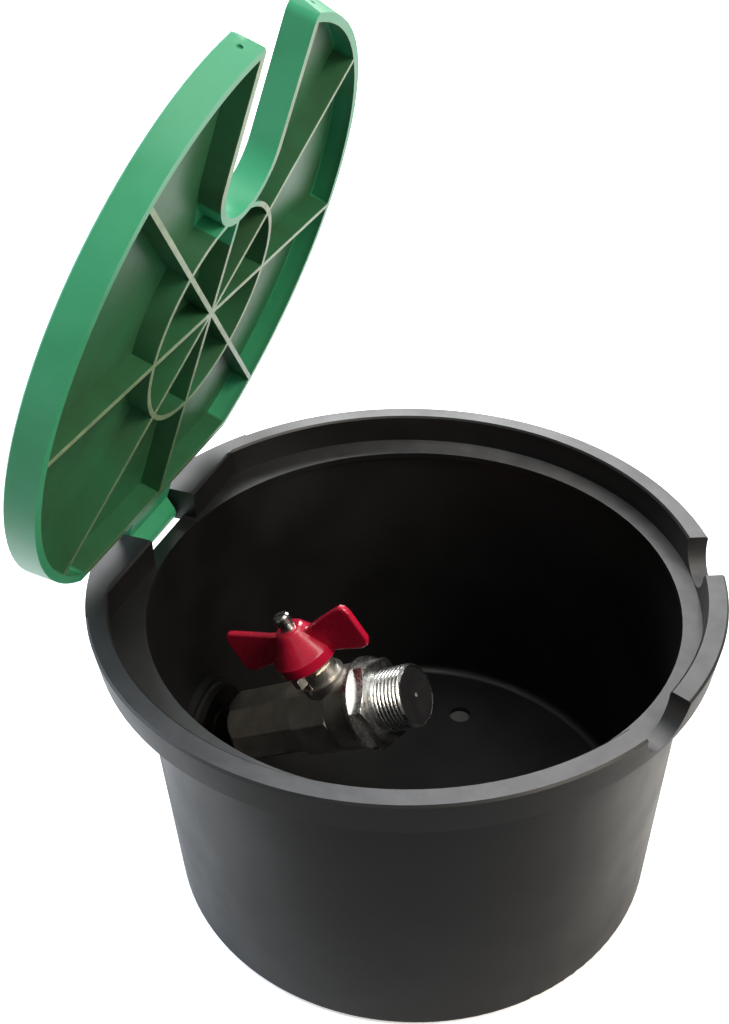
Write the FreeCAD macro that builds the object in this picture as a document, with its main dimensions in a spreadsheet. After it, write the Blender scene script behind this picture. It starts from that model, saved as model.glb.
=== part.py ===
import FreeCAD, Part
import math
import os
import re
import Sketcher

# Underground garden water outlet: a round box with a hinged lid, sunk in the lawn, and in
# it a ball valve whose threaded outlet leans up towards the lid's slot.
# Millimetres. The origin is the middle of the box's foot, +Z is up, and +X points from the
# hinge to the lid's slot. The collar at the top sits a little towards the hinge.
# The lid is built closed, in its own frame: the origin is the middle of its top face.
# The valve is built in its own frame: the origin is the middle of the ball, +X is the way
# the water leaves, and +Z is the stem.
# A cutting shape runs one or two millimetres past the faces that it opens.

SIZES = (
    # The box
    ("box_height", 140, "foot to rim"),
    ("rim_radius", 120, "outside of the rim"),
    ("rim_width", 8, "outside of the rim to its inside, round the lid"),
    ("collar_reach", 13.4, "outside of the rim to the outside of the wall under the collar"),
    ("wall_draft", 6.3, "how much the wall draws in from the collar to the foot, on the radius"),
    ("lip_width", 4.8, "outside of the wall under the collar to the opening inside the ledge"),
    ("wall", 2.5, "thickness of the box's moulding"),
    ("foot_round", 3, "outer round of the foot"),
    ("floor_round", 4, "inner round between wall and floor"),
    ("collar_shift", 3.1, "middle of the collar from the middle of the box, towards the hinge"),
    ("rim_bevel", 0.8, "bevel on the rim's edges"),
    ("ledge_depth", 12.3, "rim down to the ledge that the lid lands on"),
    ("skirt_height", 13.4, "rim down to the skirt's lower edge"),
    ("skirt_draft", 1.7, "how much the skirt draws in at its lower edge, on the radius"),
    ("block_gap", 13.3, "hinge line to the straight face of the hinge blocks"),
    ("block_round", 1.5, "round on the top edge of the hinge blocks"),
    ("gap_width", 35, "gap between the hinge blocks"),
    ("strip_gap", 7.2, "hinge line to the ledge's edge in the gap"),
    ("block_rib_place", 30, "hinge line's middle to the rib that holds the pin's end"),
    ("notch_radius", 12, "half-round finger notch in the rim"),
    ("notch_turn", 23.6, "degrees from the slot to a notch's middle"),
    ("drain_radius", 5, "drain hole"),
    ("drain_circle_radius", 69, "middle of the floor to the drain holes"),
    ("drain_count", 4, "drain holes"),
    ("boss_radius", 23, "flat boss round the inlet"),
    ("boss_depth", 3.8, "outside of the wall at the foot to the boss's inner face"),
    ("boss_height", 6.5, "boss's inner face to its outer face"),
    ("inlet_height", 26, "foot to the inlet's middle"),
    # The lid and its hinge
    ("lid_gap", 1.1, "inside of the rim to the lid's top edge"),
    ("lid_draft", 1.7, "how much the lid's skirt draws in at its free edge, on the radius"),
    ("lid_depth", 10.9, "top face to the free edge"),
    ("lid_plate", 2.5, "thickness of the top plate"),
    ("lid_wall", 3.2, "thickness of the skirt and of the walls along slot and chord"),
    ("lid_bevel", 0.8, "bevel on the top edge"),
    ("chord_gap", 20.3, "hinge line to the lid's straight hinge side"),
    ("slot_width", 37, "slot for the hose"),
    ("slot_round", 5, "round on the corners where the slot opens, seen from above"),
    ("dimple_radius", 1, "dimple in the lid's skirt on each side of the slot"),
    ("dimple_depth", 0.8, "dimple"),
    ("dimple_turn", 14, "degrees from the slot to a dimple"),
    ("slot_end", 60, "lid's middle to the centre of the slot's round end"),
    ("rib_thickness", 2, "ribs under the lid"),
    ("rib_count", 8, "spokes under the lid"),
    ("ring_radius", 42, "middle of the ring rib"),
    ("hinge_inset", 7.4, "outside of the rim to the hinge line"),
    ("hinge_drop", 10.5, "rim down to the hinge line"),
    ("knuckle_radius", 4.75, "barrel of the hinge"),
    ("knuckle_width", 32, "barrel of the hinge along the pin"),
    ("strap_step", 2, "lid's straight side to where the strap's top slopes down"),
    ("strap_rise", 3, "ledge to the strap's underside, with the lid closed"),
    ("strap_lean", 14.7, "degrees that the strap's top slopes down to the barrel"),
    ("strap_turn", 40, "degrees below level to where the underside meets the barrel"),
    ("lid_open", 69.5, "degrees that the lid stands open"),
    ("pin_radius", 2, "hinge pin"),
    ("pin_past", 0.5, "hinge pin past the rib that holds its end"),
    ("pin_clearance", 0.08, "pin to the holes round it, on the radius"),
    # Where the valve lies
    ("bend_gap", 6.5, "adaptor's flange to the middle of its bend"),
    ("pipe_run", 12.85, "bend to the valve body's inlet face, along the valve's axis"),
    ("outlet_tilt", 29, "degrees that the outlet points up"),
    ("stem_roll", 4.5, "degrees that the stem leans about the outlet's axis"),
    ("outlet_reach", 36.5, "middle of the ball to the outlet's end face"),
    # The outlet end
    ("thread_radius", 13.22, "three-quarter inch pipe thread, outside"),
    ("thread_length", 15, "outlet thread"),
    ("thread_relief", 1.1, "groove behind the thread, on the radius"),
    ("relief_length", 1.2, "groove behind the thread, along the axis"),
    ("thread_bevel", 0.8, "bevel on the thread's end"),
    ("outlet_flats", 33, "outlet's hexagon across flats"),
    ("outlet_hex_height", 6.2, "outlet's hexagon along the axis"),
    ("outlet_hex_bevel", 1.4, "bevel on the hexagon's corners, along the axis"),
    ("flange_radius", 19.7, "round flange behind the hexagon"),
    ("flange_height", 1.8, "round flange along the axis"),
    ("spigot_radius", 14.5, "end's spigot in the body"),
    ("waterway_radius", 8, "way for the water"),
    ("mouth_recess_radius", 12, "recess in the outlet's mouth, for the plug"),
    ("mouth_recess_depth", 3, "recess in the outlet's mouth"),
    # The ball and its seats
    ("ball_radius", 12.5, "ball"),
    ("ball_clearance", 0.06, "ball to its seats"),
    ("seat_front", 7, "middle of the ball to a seat's near face"),
    ("seat_back", 11, "middle of the ball to a seat's far face"),
    ("seat_radius", 12.3, "seat's outside"),
    ("seat_lip", 0.5, "how far the seat's pocket stays beside the ball"),
    ("fit_clearance", 0.05, "between parts that fit in each other, on the radius"),
    ("cavity_gap", 0.6, "ball to the hollow round it"),
    # The valve body
    ("body_round_radius", 18, "round shoulder behind the outlet end"),
    ("body_middle_flats", 34.4, "eight-sided middle across flats"),
    ("body_end_flats", 29.6, "eight-sided inlet end across flats"),
    ("shoulder_start", 1.5, "middle of the ball to the round shoulder"),
    ("middle_length", 20, "eight-sided middle along the axis"),
    ("inlet_reach", 54, "middle of the ball to the body's inlet face"),
    ("socket_depth", 14, "threaded socket in the inlet end"),
    ("socket_radius", 10.48, "half inch pipe thread, inside"),
    ("socket_cone", 1.5, "cone at the socket's inner end, along the axis"),
    ("body_groove", 0.6, "groove between the body's sections"),
    ("corner_bevel", 1.6, "bevel on the middle's corners"),
    ("body_lip", 1.5, "lip of the body before the outlet's flange"),
    ("body_lip_rise", 0.4, "lip over the round shoulder"),
    ("spigot_gap", 0.2, "how far the spigot's bore runs past the spigot"),
    ("spigot_space", 1, "how far the spigot's bore runs into the flange"),
    ("end_bevel", 3, "bevel that rounds the inlet end's corners"),
    # The stem's neck
    ("neck_outer_radius", 8.3, "neck round the stem"),
    ("neck_top", 25, "middle of the ball to the neck's top"),
    ("neck_foot_drop", 5.5, "neck's top down to the top of its foot"),
    ("neck_boss_radius", 10, "foot of the neck"),
    ("stop_width", 4.6, "square stop lug"),
    ("stop_height", 20, "middle of the ball to the stop lug's middle, along the stem"),
    ("stop_reach", 14.5, "stem's axis to the stop lug's end"),
    ("stop_turn", 112, "degrees from the outlet's way to the stop lug"),
    ("stem_radius", 4, "stem"),
    ("stem_flange_radius", 6, "stem's flange, inside the body"),
    ("stem_gap", 0.3, "ball's top to the stem's flange"),
    ("stem_flange_height", 1.7, "stem's flange"),
    ("stem_washer_height", 0.9, "thrust washer"),
    ("stem_square", 5.6, "stem's square for the handle"),
    ("square_gap", 0.4, "handle's lower edge to the stem's square"),
    ("tang_width", 4.8, "stem's tang in the ball's slot"),
    ("tang_length", 12, "stem's tang along the slot"),
    ("tang_bottom", 9.6, "middle of the ball to the tang's end"),
    ("ring_wire", 0.62, "wire radius of the stem's two rings"),
    ("ring_groove", 1.5, "width of a ring's groove on the stem"),
    ("ring_place", 17.4, "middle of the ball to the lower ring"),
    ("ring_pitch", 2, "from one ring to the next"),
    ("joint_wire", 0.75, "wire radius of the ring between body and outlet end"),
    ("joint_gap", 0.5, "outlet seat's pocket to the ring's groove"),
    ("joint_groove", 1.8, "width of the ring's groove"),
    ("packing_radius", 6.2, "pocket for the packing and the gland nut's thread"),
    ("packing_depth", 4.6, "neck's top down to the packing's lower face"),
    ("packing_height", 2.2, "packing"),
    ("gland_head", 2.2, "gland nut's hexagon along the stem"),
    ("gland_flats", 14, "gland nut's hexagon across flats"),
    # The handle
    ("hub_gap", 0.4, "gland nut to the handle's lower edge"),
    ("hub_radius", 12.5, "handle's hub at its lower edge"),
    ("hub_band", 4.5, "straight band round the hub's foot"),
    ("hub_height", 18.9, "handle's lower edge to the hub's top"),
    ("hub_top_radius", 5.8, "hub at its top"),
    ("hub_hollow_radius", 10, "hollow under the hub, over the gland nut"),
    ("hub_hollow_depth", 4, "hollow under the hub"),
    ("wing_reach", 32.4, "stem's axis to a wing's tip"),
    ("wing_lift", 1.6, "handle's lower edge to a wing's lower edge"),
    ("wing_rise", 4.5, "hub's top to a wing's upper corner"),
    ("wing_thickness", 3.3, "wing"),
    ("wing_round", 1.2, "round along the wing's edges"),
    ("washer_radius", 3.2, "washer under the screw"),
    ("washer_height", 3, "washer under the screw"),
    ("screw_head_radius", 3.7, "handle screw's head"),
    ("screw_head_height", 3.6, "handle screw's head"),
    ("screw_head_bevel", 0.9, "bevel on the screw's head"),
    ("screw_radius", 2, "handle screw's shank"),
    ("screw_length", 12, "hole for the handle screw, and the screw's shank less its end gap"),
    ("screw_gap", 1, "screw's end to the bottom of its hole"),
    ("screw_slot", 0.9, "slot in the screw's head"),
    ("screw_slot_depth", 1.3, "slot in the screw's head"),
    # The outlet's plug
    ("plug_length", 9, "plug"),
    ("plug_wall", 1.6, "plug's hollow stub"),
    ("plug_lead", 1.5, "bevel on the stub's end, along the axis"),
    ("plug_plate", 2.2, "outlet's end face to the plug's hollow"),
    ("plug_sink", 0.1, "outlet's end face to the plug's face"),
    ("plug_bevel", 0.3, "bevel on the plug's face"),
    ("plug_clearance", 0.1, "plug to the bore"),
    # The inlet adaptor and what holds it in the wall
    ("nipple_radius", 9.5, "adaptor's pipe"),
    ("way_radius", 6.5, "way for the water in the adaptor"),
    ("collar_radius", 12, "adaptor's collar against the valve body"),
    ("collar_length", 2.5, "adaptor's collar"),
    ("inner_flange_radius", 20, "adaptor's flange inside the box"),
    ("inner_flange_height", 3, "adaptor's flange inside the box"),
    ("gasket_height", 1.5, "gasket inside the wall"),
    ("gasket_radius", 20, "gasket inside the wall"),
    ("tail_radius", 16.5, "adaptor's threaded tail through the wall"),
    ("tail_clearance", 0.3, "tail to the hole in the boss"),
    ("tail_socket_radius", 13.3, "three-quarter inch pipe thread, inside the tail"),
    ("tail_socket_depth", 15, "socket in the tail's end"),
    ("tail_reach", 8, "boss's outer face to the tail's end"),
    ("outer_washer_height", 1.5, "washer outside the wall"),
    ("outer_washer_radius", 20, "washer outside the wall"),
    ("locknut_flats", 40, "locknut across flats"),
    ("locknut_height", 5, "locknut"),
)

DERIVED = (
    # The box, from the outside of its rim inwards
    ("rim_inner_radius", "rim_radius - rim_width", "inside of the rim, round the lid"),
    ("skirt_foot_radius", "rim_radius - skirt_draft", "outside of the skirt at its lower edge"),
    ("neck_radius", "rim_radius - collar_reach", "outside of the wall under the collar"),
    ("foot_radius", "neck_radius - wall_draft", "outside of the wall at the foot"),
    ("mouth_radius", "neck_radius - lip_width", "opening inside the ledge"),
    ("boss_inner_face", "foot_radius - boss_depth", "middle of the box to the boss's inner face"),
    ("boss_outer_face", "boss_inner_face + boss_height", "middle of the box to the boss's outer face"),
    ("tail_end", "boss_outer_face + tail_reach", "middle of the box to the tail's end"),
    # The hinge and the lid, from the rim
    ("hinge_reach", "rim_radius - hinge_inset", "collar's middle to the hinge line"),
    ("block_chord", "hinge_reach - block_gap", "collar's middle to the hinge blocks' straight face"),
    ("strip_edge", "hinge_reach - strip_gap", "collar's middle to the ledge's edge in the gap"),
    ("lid_chord", "hinge_reach - chord_gap", "lid's middle to its straight hinge side"),
    ("lid_radius", "rim_inner_radius - lid_gap", "lid at its top edge"),
    ("lid_foot_radius", "lid_radius - lid_draft", "lid at its free edge"),
    ("pin_length", "2 * (block_rib_place + wall + pin_past)", "hinge pin"),
    # The valve, from the adaptor's flange in the wall
    ("flange_face", "boss_inner_face - gasket_height", "middle of the box to the adaptor's flange"),
    ("bend_x", "bend_gap - flange_face", "middle of the box to the adaptor's bend"),
    ("ball_reach", "inlet_reach + pipe_run", "bend to the middle of the ball"),
    ("ball_x", "bend_x + ball_reach * cos(outlet_tilt)", "middle of the box to the middle of the ball"),
    ("ball_z", "inlet_height + ball_reach * sin(outlet_tilt)", "foot to the middle of the ball"),
    # The valve's inside, from the ball outwards
    ("cavity_radius", "ball_radius + cavity_gap", "hollow round the ball"),
    ("joint_start", "seat_back + joint_gap", "middle of the ball to the joint ring's groove"),
    ("stem_flange_bottom", "ball_radius + stem_gap", "middle of the ball to the stem's flange"),
    ("neck_foot_top", "neck_top - neck_foot_drop", "middle of the ball to the top of the neck's foot"),
    ("packing_bottom", "neck_top - packing_depth", "middle of the ball to the packing"),
    ("gland_top", "neck_top + gland_head", "middle of the ball to the gland nut's top"),
    ("hub_bottom", "gland_top + hub_gap", "middle of the ball to the handle's lower edge"),
    ("square_start", "hub_bottom + square_gap", "middle of the ball to the stem's square"),
    ("hub_top", "hub_bottom + hub_height", "middle of the ball to the hub's top"),
    ("wing_bottom", "hub_bottom + wing_lift", "middle of the ball to a wing's lower edge"),
    ("wing_top", "hub_top + wing_rise", "middle of the ball to a wing's upper corner"),
)

NAMES = [name for name, value, meaning in SIZES + DERIVED]
WORDS = re.compile(r"\b(" + "|".join(NAMES) + r")\b")
# Where a sketch's corners lie before the sizes hold them
FIRST_RADIUS = 50

UP = FreeCAD.Vector(0, 0, 1)
ALONG_X = FreeCAD.Rotation(FreeCAD.Vector(0, 1, 0), 90)
ALONG_Y = FreeCAD.Rotation(FreeCAD.Vector(1, 0, 0), -90)

doc = FreeCAD.newDocument("water_outlet")
sheet = doc.addObject("Spreadsheet::Sheet", "Sizes")
for row, (name, value, meaning) in enumerate(SIZES + DERIVED, 1):
    sheet.set(f"A{row}", name)
    sheet.set(f"B{row}", str(value) if row <= len(SIZES) else f"={value}")
    sheet.setAlias(f"B{row}", name)
    sheet.set(f"C{row}", meaning)
doc.recompute()
VALUE = {name: float(sheet.get(name)) for name in NAMES}

LID_PLACE = (
    "placement(vector("
    "-collar_shift - hinge_reach + hinge_reach * cos(lid_open) - hinge_drop * sin(lid_open); 0; "
    "box_height - hinge_drop + hinge_reach * sin(lid_open) + hinge_drop * cos(lid_open)); "
    "rotation(vector(0; 1; 0); -lid_open))"
)
VALVE_PLACE = (
    "placement(vector(ball_x; 0; ball_z); "
    "rotation(vector(0; 1; 0); -outlet_tilt) * rotation(vector(1; 0; 0); stem_roll))"
)


def tied(text):
    """The expression with each size's name read from the sheet."""
    return WORDS.sub(r"Sizes.\1", text)


def bind(thing, **properties):
    """Each property follows its expression."""
    for name, text in properties.items():
        thing.setExpression(name, tied(text))


def place(thing, x="0", y="0", z="0", turn=None):
    """A turn that never changes, and a place that follows the sizes."""
    if turn:
        thing.Placement = FreeCAD.Placement(FreeCAD.Vector(), turn)
    for axis, text in zip("xyz", (x, y, z)):
        if text != "0":
            thing.setExpression(f"Placement.Base.{axis}", tied(text))
    return thing


def cylinder(radius, height, turn=None, **where):
    thing = doc.addObject("Part::Cylinder", "Cylinder")
    bind(thing, Radius=radius, Height=height)
    return place(thing, turn=turn, **where)


def cone(low, high, height, turn=None, **where):
    thing = doc.addObject("Part::Cone", "Cone")
    bind(thing, Radius1=low, Radius2=high, Height=height)
    return place(thing, turn=turn, **where)


def ball_shape(radius, **where):
    thing = doc.addObject("Part::Sphere", "Sphere")
    bind(thing, Radius=radius)
    return place(thing, **where)


def ring_shape(middle, wire, turn=None, **where):
    thing = doc.addObject("Part::Torus", "Torus")
    bind(thing, Radius1=middle, Radius2=wire)
    return place(thing, turn=turn, **where)


def block(length, width, height, x, y, z, turn=None):
    thing = doc.addObject("Part::Box", "Box")
    bind(thing, Length=length, Width=width, Height=height)
    return place(thing, x=x, y=y, z=z, turn=turn)


def prism(sides, flats, height, turn, **where):
    """A bar with flat sides, given across its flats."""
    thing = doc.addObject("Part::Prism", "Prism")
    thing.Polygon = sides
    bind(thing, Circumradius=f"({flats}) / 2 / cos({180 / sides})", Height=height)
    return place(thing, turn=turn, **where)


def fused(*things):
    thing = doc.addObject("Part::MultiFuse", "Fusion")
    thing.Shapes = list(things)
    thing.Refine = True
    return thing


def shared(first, second):
    thing = doc.addObject("Part::Common", "Common")
    thing.Base = first
    thing.Tool = second
    return thing


def cut(base, *tools):
    thing = doc.addObject("Part::Cut", "Cut")
    thing.Base = base
    thing.Tool = tools[0] if len(tools) == 1 else fused(*tools)
    return thing


def new_body(name):
    body = doc.addObject("PartDesign::Body", name)
    doc.recompute()
    return body


def origin_part(body, role):
    return next(part for part in body.Origin.OriginFeatures if part.Role == role)


def outline(body, points, plane="XZ_Plane"):
    """A closed sketch on the body's own plane. Each corner is held by two sizes."""
    sketch = body.newObject("Sketcher::SketchObject", "Outline")
    sketch.AttachmentSupport = [(origin_part(body, plane), "")]
    sketch.MapMode = "FlatFace"
    count = len(points)
    start = []
    for corner in range(count):
        angle = 2 * math.pi * corner / count
        start.append(FreeCAD.Vector(FIRST_RADIUS * math.cos(angle), FIRST_RADIUS * math.sin(angle), 0))
    for corner in range(count):
        sketch.addGeometry(Part.LineSegment(start[corner], start[(corner + 1) % count]))
    for corner in range(count):
        sketch.addConstraint(Sketcher.Constraint("Coincident", corner, 2, (corner + 1) % count, 1))
    for corner, (across, up) in enumerate(points):
        for kind, text, now in (
            ("DistanceX", across, start[corner].x),
            ("DistanceY", up, start[corner].y),
        ):
            held = sketch.addConstraint(Sketcher.Constraint(kind, -1, 1, corner, 1, now))
            sketch.setExpression(f"Constraints[{held}]", tied(text))
    return sketch


def turned(name, points, axis="V_Axis"):
    """A body turned from an outline of stations and radii."""
    body = new_body(name)
    sketch = outline(body, points)
    turning = body.newObject("PartDesign::Revolution", "Turning")
    turning.Profile = sketch
    turning.ReferenceAxis = (sketch, [axis])
    turning.Angle = 360
    doc.recompute()
    return body


def rounded(body, base, radius, pick):
    """The picked edges of the base, rounded."""
    doc.recompute()
    edges = [f"Edge{at}" for at, edge in enumerate(base.Shape.Edges, 1) if pick(edge)]
    rounding = body.newObject("PartDesign::Fillet", "Rounding")
    rounding.Base = (base, edges)
    bind(rounding, Radius=radius)
    return rounding


def is_circle_at(edge, height, radius):
    """A full circle about the vertical axis, at this height, of this radius."""
    curve = edge.Curve
    if not isinstance(curve, Part.Circle):
        return False
    return abs(curve.Center.z - height) < 0.01 and abs(curve.Radius - radius) < 0.01


def named(thing, label, where=None):
    """A finished sub-part, put where it belongs."""
    thing.Label = label
    if where:
        thing.setExpression("Placement", tied(where))
    return thing


# The box: a bucket turned about its own middle, and a collar turned about another


def bucket():
    """Wall, floor and the lip under the ledge."""
    ledge = "box_height - ledge_depth"
    body = turned("Bucket", (
        ("0", "0"),
        ("foot_radius", "0"),
        ("neck_radius", f"{ledge} - wall"),
        ("neck_radius", ledge),
        ("mouth_radius", ledge),
        ("mouth_radius", f"{ledge} - wall"),
        ("neck_radius - wall", f"{ledge} - wall"),
        ("foot_radius - wall", "wall"),
        ("0", "wall"),
    ))
    base = body.Tip
    foot = VALUE["foot_radius"]
    outer = rounded(body, base, "foot_round", lambda edge: is_circle_at(edge, 0, foot))
    doc.recompute()
    inside = foot - VALUE["wall"]
    thick = VALUE["wall"]
    body.Tip = rounded(body, outer, "floor_round", lambda edge: is_circle_at(edge, thick, inside))
    doc.recompute()
    return body


def collar():
    """The ledge plate and the hollow rim round the lid."""
    ledge = "box_height - ledge_depth"
    skirt = "box_height - skirt_height"
    return place(turned("Collar", (
        ("block_chord - 2 * wall", f"{ledge} - wall"),
        ("rim_inner_radius + wall", f"{ledge} - wall"),
        ("rim_inner_radius + wall", "box_height - wall"),
        ("rim_radius - wall", "box_height - wall"),
        ("skirt_foot_radius - wall", skirt),
        ("skirt_foot_radius", skirt),
        ("rim_radius", "box_height - rim_bevel"),
        ("rim_radius - rim_bevel", "box_height"),
        ("rim_inner_radius + rim_bevel", "box_height"),
        ("rim_inner_radius", "box_height - rim_bevel"),
        ("rim_inner_radius", ledge),
        ("block_chord - 2 * wall", ledge),
    )), x="-collar_shift")


def rim_disc(foot, top, bottom, height):
    """A solid disc on the collar's middle, as wide as the rim's cone there."""
    return cone(foot, top, height, x="-collar_shift", z=bottom)


def hinge_blocks():
    """The rim closed by a chord on the hinge side, hollow from below, with pin ribs."""
    low = "box_height - ledge_depth - wall"
    tall = "ledge_depth + wall"
    width = "2 * rim_radius"
    disc = rim_disc("skirt_foot_radius", "rim_radius", "box_height - skirt_height", "skirt_height")
    slab = block("rim_radius", width, tall, "-collar_shift - block_chord - rim_radius", "-rim_radius", low)
    skirt_disc = cylinder("rim_inner_radius + wall", tall, x="-collar_shift", z=low)
    shell = shared(fused(disc, skirt_disc), slab)
    void_disc = rim_disc(
        "skirt_foot_radius - wall", "rim_radius - wall", "box_height - skirt_height", "skirt_height - wall"
    )
    void_low = cylinder("skirt_foot_radius - wall", tall, x="-collar_shift", z=f"{low} - 1")
    void_slab = block(
        "rim_radius", width, tall,
        "-collar_shift - block_chord - wall - rim_radius", "-rim_radius", f"{low} - wall",
    )
    void = shared(fused(void_disc, void_low), void_slab)
    walls = []
    for start in (
        "gap_width / 2 - 1",
        "-gap_width / 2 - wall",
        "block_rib_place",
        "-block_rib_place - wall",
    ):
        thick = "wall + 1" if "gap" in start else "wall"
        walls.append(block("rim_radius", thick, tall, "-collar_shift - block_chord - rim_radius", start, low))
    return cut(shell, cut(void, *walls))


def about_collar(thing, side, reach, rise, turn):
    """Puts a shape on the rim at a notch's middle, on one side of the slot."""
    thing.setExpression("Placement", tied(
        f"placement(vector(-collar_shift; 0; 0); rotation(vector(0; 0; 1); {side} * notch_turn))"
        f" * placement(vector({reach}; {rise}); {turn})"
    ))
    return thing


def notch_fills():
    """Solid rim round each notch, in place of the hollow one."""
    fills = []
    for side in (1, -1):
        bar = doc.addObject("Part::Box", "Fill")
        bind(bar, Length="2 * rim_width", Width="2 * (notch_radius + wall)", Height="ledge_depth + wall")
        about_collar(
            bar, side, "rim_inner_radius + wall / 2", "-notch_radius - wall; box_height - ledge_depth - wall",
            "rotation(vector(0; 0; 1); 0)",
        )
        disc = rim_disc(
            "skirt_foot_radius", "rim_radius", "box_height - skirt_height", "skirt_height - rim_bevel"
        )
        fills.append(shared(bar, disc))
    return fills


def notches():
    """A half-round finger notch on each side of the slot."""
    scoops = []
    for side in (1, -1):
        scoop = doc.addObject("Part::Cylinder", "Notch")
        bind(scoop, Radius="notch_radius", Height="rim_width + 10")
        scoops.append(about_collar(
            scoop, side, "rim_inner_radius - 5", "0; box_height", "rotation(vector(0; 1; 0); 90)"
        ))
    return scoops


def gap_cuts():
    """The gap between the hinge blocks: open above the ledge's strip, and outside it."""
    strip = block(
        "rim_radius", "gap_width", "ledge_depth + 5",
        "-collar_shift - block_chord - rim_radius", "-gap_width / 2", "box_height - ledge_depth",
    )
    outside = block(
        "rim_radius", "gap_width", "ledge_depth + 2 * wall + 5",
        "-collar_shift - strip_edge - rim_radius", "-gap_width / 2", "box_height - ledge_depth - 2 * wall",
    )
    return [strip, outside]


def block_edge_rounds():
    """What a round takes off the top edge of the hinge blocks."""
    bar = block(
        "block_round + 1", "2 * rim_radius", "block_round + 1",
        "-collar_shift - block_chord - block_round", "-rim_radius", "box_height - block_round",
    )
    rod = cylinder(
        "block_round", "2 * rim_radius + 2", turn=ALONG_Y,
        x="-collar_shift - block_chord - block_round", y="-rim_radius - 1", z="box_height - block_round",
    )
    beside = cylinder("rim_inner_radius", "block_round + 1", x="-collar_shift", z="box_height - block_round")
    return shared(cut(bar, rod), beside)


def box_tub():
    mouth = cylinder("mouth_radius", "ledge_depth + wall + 1", z="box_height - ledge_depth - wall")
    ledge_inside = cylinder("neck_radius - wall", "2 * wall", z="box_height - ledge_depth - 3 * wall")
    collar_open = cut(collar(), mouth, ledge_inside)
    boss = cylinder("boss_radius", "boss_outer_face - boss_inner_face", turn=ALONG_X, x="-boss_outer_face",
                    z="inlet_height")
    pin_way = cylinder("pin_radius + pin_clearance", "pin_length + 1", turn=ALONG_Y,
                       x="-collar_shift - hinge_reach", y="-pin_length / 2 - 0.5", z="box_height - hinge_drop")
    drains = []
    for at in range(int(VALUE["drain_count"])):
        angle = 360 * at / int(VALUE["drain_count"])
        drains.append(cylinder(
            "drain_radius", "3 * wall",
            x=f"drain_circle_radius * cos({angle})", y=f"drain_circle_radius * sin({angle})", z="-wall",
        ))
    inlet_way = cylinder("tail_radius + tail_clearance", "boss_radius", turn=ALONG_X,
                         x="-boss_outer_face - wall", z="inlet_height")
    solid = fused(bucket(), collar_open, hinge_blocks(), boss, *notch_fills())
    return named(cut(
        solid, *notches(), *gap_cuts(), block_edge_rounds(), pin_way, inlet_way, *drains
    ), "box_tub")


# The lid: a shallow cap with a slot, a chord, a ring and spokes, and the hinge's barrel


def slot_shape(grow, bottom, height):
    """The slot, with its round end, made wider on each side by a wall."""
    radius = f"slot_width / 2 + {grow}"
    end = cylinder(radius, height, x="slot_end", z=bottom)
    way = block("lid_radius", f"2 * ({radius})", height, "slot_end", f"-({radius})", bottom)
    return fused(end, way)


def lid_disc(inset, bottom, top):
    """A slice of the lid's cone, drawn in by a wall."""
    slope = "(lid_radius - lid_foot_radius) / lid_depth"
    low = f"lid_radius - {inset} + ({bottom}) * {slope}"
    high = f"lid_radius - {inset} + ({top}) * {slope}"
    return cone(low, high, f"({top}) - ({bottom})", z=bottom)


def behind_chord(inset):
    return block("lid_radius", "2 * lid_radius", "2 * lid_depth + 10",
                 f"-lid_chord + {inset} - lid_radius", "-lid_radius", "-2 * lid_depth")


def slot_corners():
    """What the rounds take off the corners where the slot opens."""
    corners = []
    reach = "sqrt((lid_radius - slot_round)^2 - (slot_width / 2 + slot_round)^2)"
    turn = "asin((slot_width / 2 + slot_round) / (lid_radius - slot_round))"
    for side in (1, -1):
        across = f"{side} * (slot_width / 2 + slot_round)"
        middle = f"vector({reach}; {across}; -lid_depth - 1)"
        bars = []
        for angle in ("0", turn):
            bar = doc.addObject("Part::Box", "CornerBar")
            bind(bar, Length="2 * slot_round", Width="slot_round + 1", Height="lid_depth + 2")
            low = "-slot_round - 1" if side > 0 else "0"
            bar.setExpression("Placement", tied(
                f"placement({middle}; rotation(vector(0; 0; 1); {side} * {angle}))"
                f" * placement(vector(0; {low}; 0); rotation(vector(0; 0; 1); 0))"
            ))
            bars.append(bar)
        rod = cylinder("slot_round", "lid_depth + 4", x=reach, y=across, z="-lid_depth - 2")
        corners.append(cut(fused(*bars), rod))
    return corners


def dimples():
    """A small dimple in the skirt on each side of the slot."""
    marks = []
    start = "lid_radius - lid_draft / 2 - dimple_depth"
    for side in (1, -1):
        mark = doc.addObject("Part::Cylinder", "Dimple")
        bind(mark, Radius="dimple_radius", Height="dimple_depth + 5")
        mark.setExpression("Placement", tied(
            f"placement(vector(0; 0; -lid_depth / 2); rotation(vector(0; 0; 1); {side} * dimple_turn))"
            f" * placement(vector({start}; 0; 0); rotation(vector(0; 1; 0); 90))"
        ))
        marks.append(mark)
    return marks


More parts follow.
